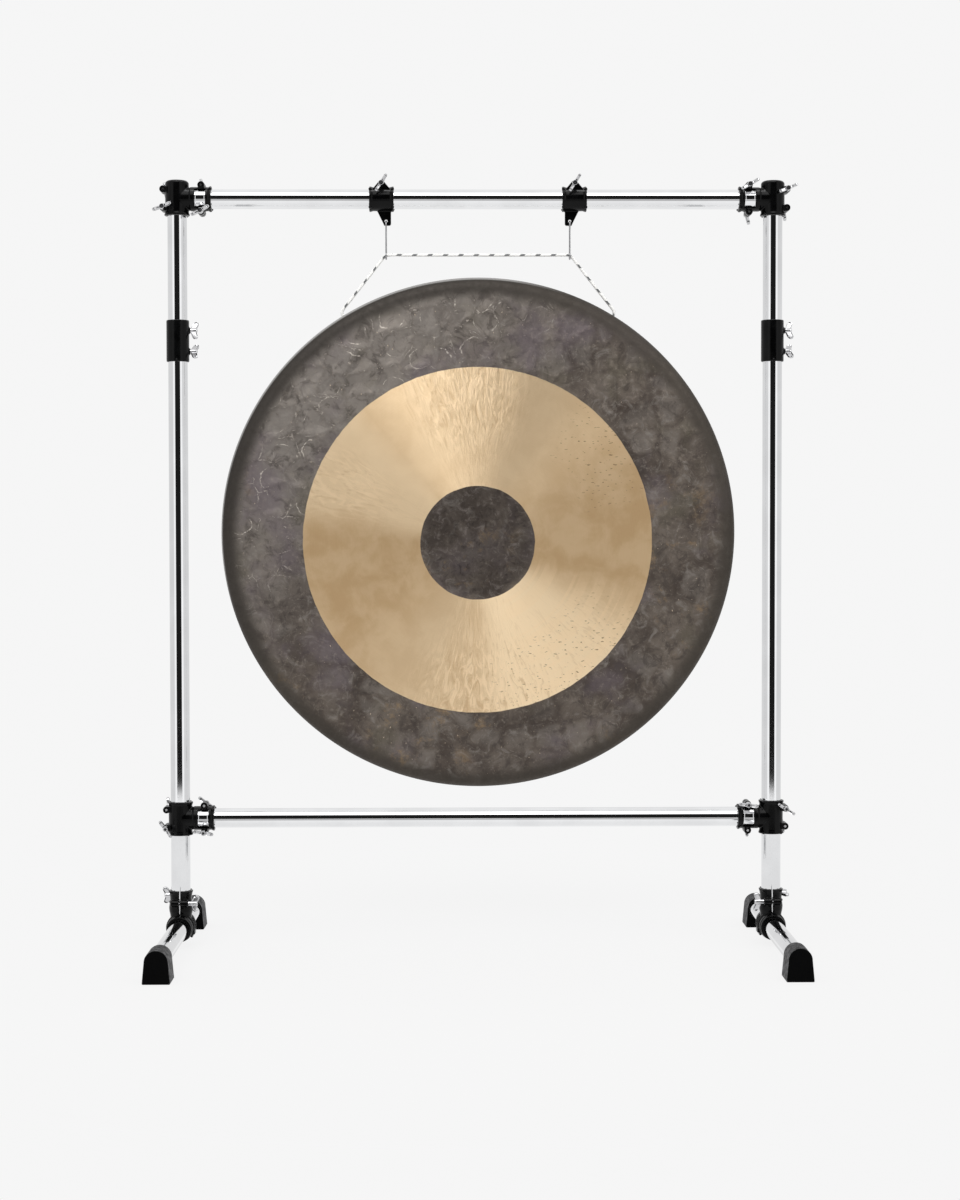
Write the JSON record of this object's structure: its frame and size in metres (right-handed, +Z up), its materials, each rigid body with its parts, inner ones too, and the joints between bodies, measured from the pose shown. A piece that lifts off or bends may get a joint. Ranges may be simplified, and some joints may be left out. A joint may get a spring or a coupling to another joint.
{
  "type": "gong stand",
  "caption": "Free-standing tubular gong stand with split clamps, T legs and a rope-hung gong that swings.",
  "frame": {"origin": "on the floor, midway between the uprights and midway along the legs", "axes": "+Z up, +X along the crossbars to the viewer's right, +Y away from the front of the gong"},
  "size_m": [1.2652, 0.623, 1.5229],
  "materials": {
    "chrome_tube": "bright chrome plate on steel tube",
    "chrome_strap": "bright chrome plate on pressed steel",
    "plated_steel": "plated cast wings on threaded steel",
    "black_plastic": "moulded black nylon, satin",
    "rubber": "moulded black rubber, dull",
    "steel_wire": "drawn steel wire, bent",
    "bronze": "hammered dark bronze with a turned bright ring",
    "rope": "white braided cord with dark flecks"
  },
  "bodies": {
    "frame": {"upright_lower_left": "chrome_tube", "upright_upper_left": "chrome_tube", "tube_coupler_left": "black_plastic", "t_clamp_top_left": "black_plastic", "t_clamp_strap_top_left": "chrome_strap", "upright_lower_right": "chrome_tube", "upright_upper_right": "chrome_tube", "tube_coupler_right": "black_plastic", "t_clamp_top_right": "black_plastic", "t_clamp_strap_top_right": "chrome_strap", "crossbar_top": "chrome_tube"},
    "lower_bar": {"crossbar_lower": "chrome_tube", "t_clamp_lower_left": "black_plastic", "t_clamp_strap_lower_left": "chrome_strap", "t_clamp_lower_right": "black_plastic", "t_clamp_strap_lower_right": "chrome_strap"},
    "leg_left": {"leg_clamp_left": "black_plastic", "leg_clamp_jaw_left": "black_plastic", "leg_tube_left": "chrome_tube", "rubber_foot_front_left": "rubber", "rubber_foot_rear_left": "rubber"},
    "leg_right": {"leg_clamp_right": "black_plastic", "leg_clamp_jaw_right": "black_plastic", "leg_tube_right": "chrome_tube", "rubber_foot_front_right": "rubber", "rubber_foot_rear_right": "rubber"},
    "hanger_left": {"hanger_clamp_left": "black_plastic"},
    "hanger_right": {"hanger_clamp_right": "black_plastic"},
    "hook_left": {"wire_hook_left": "steel_wire"},
    "hook_right": {"wire_hook_right": "steel_wire"},
    "gong": {"gong": "bronze", "gong_rope": "rope"},
    "wing_bolt_top_left_outer_upper": {"wing_bolt_top_left_outer_upper": "plated_steel"},
    "wing_bolt_top_left_arm_upper": {"wing_bolt_top_left_arm_upper": "plated_steel"},
    "wing_bolt_top_left_outer_lower": {"wing_bolt_top_left_outer_lower": "plated_steel"},
    "wing_bolt_top_left_arm_lower": {"wing_bolt_top_left_arm_lower": "plated_steel"},
    "wing_bolt_top_right_outer_upper": {"wing_bolt_top_right_outer_upper": "plated_steel"},
    "wing_bolt_top_right_arm_upper": {"wing_bolt_top_right_arm_upper": "plated_steel"},
    "wing_bolt_top_right_outer_lower": {"wing_bolt_top_right_outer_lower": "plated_steel"},
    "wing_bolt_top_right_arm_lower": {"wing_bolt_top_right_arm_lower": "plated_steel"},
    "wing_bolt_lower_left_outer_upper": {"wing_bolt_lower_left_outer_upper": "plated_steel"},
    "wing_bolt_lower_left_arm_upper": {"wing_bolt_lower_left_arm_upper": "plated_steel"},
    "wing_bolt_lower_left_outer_lower": {"wing_bolt_lower_left_outer_lower": "plated_steel"},
    "wing_bolt_lower_left_arm_lower": {"wing_bolt_lower_left_arm_lower": "plated_steel"},
    "wing_bolt_lower_right_outer_upper": {"wing_bolt_lower_right_outer_upper": "plated_steel"},
    "wing_bolt_lower_right_arm_upper": {"wing_bolt_lower_right_arm_upper": "plated_steel"},
    "wing_bolt_lower_right_outer_lower": {"wing_bolt_lower_right_outer_lower": "plated_steel"},
    "wing_bolt_lower_right_arm_lower": {"wing_bolt_lower_right_arm_lower": "plated_steel"},
    "wing_screw_coupler_left_upper": {"wing_screw_coupler_left_upper": "plated_steel"},
    "wing_screw_coupler_left_lower": {"wing_screw_coupler_left_lower": "plated_steel"},
    "wing_bolt_leg_left_front": {"wing_bolt_leg_left_front": "plated_steel"},
    "wing_bolt_leg_left_rear": {"wing_bolt_leg_left_rear": "plated_steel"},
    "wing_bolt_hanger_left": {"wing_bolt_hanger_left": "plated_steel"},
    "wing_screw_coupler_right_upper": {"wing_screw_coupler_right_upper": "plated_steel"},
    "wing_screw_coupler_right_lower": {"wing_screw_coupler_right_lower": "plated_steel"},
    "wing_bolt_leg_right_front": {"wing_bolt_leg_right_front": "plated_steel"},
    "wing_bolt_leg_right_rear": {"wing_bolt_leg_right_rear": "plated_steel"},
    "wing_bolt_hanger_right": {"wing_bolt_hanger_right": "plated_steel"}
  },
  "joints": [
    {"name": "leg_left_turn", "type": "hinge", "parent": "frame", "child": "leg_left", "pos_m": [-0.587, 0.0735, 0.0865], "axis": [0, 0, 1], "range_deg": [-90, 90]},
    {"name": "leg_right_turn", "type": "hinge", "parent": "frame", "child": "leg_right", "pos_m": [0.587, 0.0735, 0.0865], "axis": [0, 0, 1], "range_deg": [-90, 90]},
    {"name": "lower_bar_height", "type": "slide", "parent": "frame", "child": "lower_bar", "axis": [0, 0, 1], "range_m": [-0.08, 0.02]},
    {"name": "hanger_shift", "type": "slide", "parent": "frame", "child": "hanger_left", "axis": [1, 0, 0], "range_m": [-0.05, 0.035]},
    {"name": "hanger_shift_right", "type": "slide", "parent": "frame", "child": "hanger_right", "axis": [1, 0, 0], "range_m": [-0.05, 0.035]},
    {"name": "hook_swing", "type": "hinge", "parent": "hanger_left", "child": "hook_left", "pos_m": [-0.176, 0.0735, 1.42725], "axis": [1, 0, 0], "range_deg": [-25, 25]},
    {"name": "hook_swing_right", "type": "hinge", "parent": "hanger_right", "child": "hook_right", "pos_m": [0.186, 0.0735, 1.42725], "axis": [1, 0, 0], "range_deg": [-25, 25]},
    {"name": "gong_swing", "type": "hinge", "parent": "hook_left", "child": "gong", "pos_m": [0.005, 0.0735, 1.367], "axis": [1, 0, 0], "range_deg": [-20, 20]},
    {"name": "wing_bolt_top_left_outer_upper_turn", "type": "hinge", "parent": "frame", "child": "wing_bolt_top_left_outer_upper", "pos_m": [-0.613, 0.0735, 1.4945], "axis": [0, 1, 0], "continuous": true},
    {"name": "wing_bolt_top_left_arm_upper_turn", "type": "hinge", "parent": "frame", "child": "wing_bolt_top_left_arm_upper", "pos_m": [-0.5385, 0.0735, 1.5025], "axis": [0, 1, 0], "continuous": true},
    {"name": "wing_bolt_top_left_outer_lower_turn", "type": "hinge", "parent": "frame", "child": "wing_bolt_top_left_outer_lower", "pos_m": [-0.613, 0.0735, 1.4585], "axis": [0, 1, 0], "continuous": true},
    {"name": "wing_bolt_top_left_arm_lower_turn", "type": "hinge", "parent": "frame", "child": "wing_bolt_top_left_arm_lower", "pos_m": [-0.5385, 0.0735, 1.4505], "axis": [0, 1, 0], "continuous": true},
    {"name": "wing_bolt_top_right_outer_upper_turn", "type": "hinge", "parent": "frame", "child": "wing_bolt_top_right_outer_upper", "pos_m": [0.613, 0.0735, 1.4945], "axis": [0, 1, 0], "continuous": true},
    {"name": "wing_bolt_top_right_arm_upper_turn", "type": "hinge", "parent": "frame", "child": "wing_bolt_top_right_arm_upper", "pos_m": [0.5385, 0.0735, 1.5025], "axis": [0, 1, 0], "continuous": true},
    {"name": "wing_bolt_top_right_outer_lower_turn", "type": "hinge", "parent": "frame", "child": "wing_bolt_top_right_outer_lower", "pos_m": [0.613, 0.0735, 1.4585], "axis": [0, 1, 0], "continuous": true},
    {"name": "wing_bolt_top_right_arm_lower_turn", "type": "hinge", "parent": "frame", "child": "wing_bolt_top_right_arm_lower", "pos_m": [0.5385, 0.0735, 1.4505], "axis": [0, 1, 0], "continuous": true},
    {"name": "wing_bolt_lower_left_outer_upper_turn", "type": "hinge", "parent": "lower_bar", "child": "wing_bolt_lower_left_outer_upper", "pos_m": [-0.613, 0.0735, 0.2725], "axis": [0, 1, 0], "continuous": true},
    {"name": "wing_bolt_lower_left_arm_upper_turn", "type": "hinge", "parent": "lower_bar", "child": "wing_bolt_lower_left_arm_upper", "pos_m": [-0.5385, 0.0735, 0.2805], "axis": [0, 1, 0], "continuous": true},
    {"name": "wing_bolt_lower_left_outer_lower_turn", "type": "hinge", "parent": "lower_bar", "child": "wing_bolt_lower_left_outer_lower", "pos_m": [-0.613, 0.0735, 0.2365], "axis": [0, 1, 0], "continuous": true},
    {"name": "wing_bolt_lower_left_arm_lower_turn", "type": "hinge", "parent": "lower_bar", "child": "wing_bolt_lower_left_arm_lower", "pos_m": [-0.5385, 0.0735, 0.2285], "axis": [0, 1, 0], "continuous": true},
    {"name": "wing_bolt_lower_right_outer_upper_turn", "type": "hinge", "parent": "lower_bar", "child": "wing_bolt_lower_right_outer_upper", "pos_m": [0.613, 0.0735, 0.2725], "axis": [0, 1, 0], "continuous": true},
    {"name": "wing_bolt_lower_right_arm_upper_turn", "type": "hinge", "parent": "lower_bar", "child": "wing_bolt_lower_right_arm_upper", "pos_m": [0.5385, 0.0735, 0.2805], "axis": [0, 1, 0], "continuous": true},
    {"name": "wing_bolt_lower_right_outer_lower_turn", "type": "hinge", "parent": "lower_bar", "child": "wing_bolt_lower_right_outer_lower", "pos_m": [0.613, 0.0735, 0.2365], "axis": [0, 1, 0], "continuous": true},
    {"name": "wing_bolt_lower_right_arm_lower_turn", "type": "hinge", "parent": "lower_bar", "child": "wing_bolt_lower_right_arm_lower", "pos_m": [0.5385, 0.0735, 0.2285], "axis": [0, 1, 0], "continuous": true},
    {"name": "wing_screw_coupler_left_upper_turn", "type": "hinge", "parent": "frame", "child": "wing_screw_coupler_left_upper", "pos_m": [-0.557, 0.0735, 1.2185], "axis": [1, 0, 0], "continuous": true},
    {"name": "wing_screw_coupler_left_lower_turn", "type": "hinge", "parent": "frame", "child": "wing_screw_coupler_left_lower", "pos_m": [-0.557, 0.0735, 1.1775], "axis": [1, 0, 0], "continuous": true},
    {"name": "wing_bolt_leg_left_front_turn", "type": "hinge", "parent": "leg_left", "child": "wing_bolt_leg_left_front", "pos_m": [-0.587, 0.0475, 0.088], "axis": [1, 0, 0], "continuous": true},
    {"name": "wing_bolt_leg_left_rear_turn", "type": "hinge", "parent": "leg_left", "child": "wing_bolt_leg_left_rear", "pos_m": [-0.587, 0.0995, 0.097], "axis": [1, 0, 0], "continuous": true},
    {"name": "wing_bolt_hanger_left_turn", "type": "hinge", "parent": "hanger_left", "child": "wing_bolt_hanger_left", "pos_m": [-0.1848, 0.0735, 1.5045], "axis": [0, 1, 0], "continuous": true},
    {"name": "wing_screw_coupler_right_upper_turn", "type": "hinge", "parent": "frame", "child": "wing_screw_coupler_right_upper", "pos_m": [0.617, 0.0735, 1.2185], "axis": [1, 0, 0], "continuous": true},
    {"name": "wing_screw_coupler_right_lower_turn", "type": "hinge", "parent": "frame", "child": "wing_screw_coupler_right_lower", "pos_m": [0.617, 0.0735, 1.1775], "axis": [1, 0, 0], "continuous": true},
    {"name": "wing_bolt_leg_right_front_turn", "type": "hinge", "parent": "leg_right", "child": "wing_bolt_leg_right_front", "pos_m": [0.587, 0.0475, 0.088], "axis": [1, 0, 0], "continuous": true},
    {"name": "wing_bolt_leg_right_rear_turn", "type": "hinge", "parent": "leg_right", "child": "wing_bolt_leg_right_rear", "pos_m": [0.587, 0.0995, 0.097], "axis": [1, 0, 0], "continuous": true},
    {"name": "wing_bolt_hanger_right_turn", "type": "hinge", "parent": "hanger_right", "child": "wing_bolt_hanger_right", "pos_m": [0.1948, 0.0735, 1.5045], "axis": [0, 1, 0], "continuous": true}
  ],
  "couplings": [
    {"joint": "hanger_shift_right", "follows": "hanger_shift", "ratio": 1},
    {"joint": "hook_swing_right", "follows": "hook_swing", "ratio": 1}
  ]
}
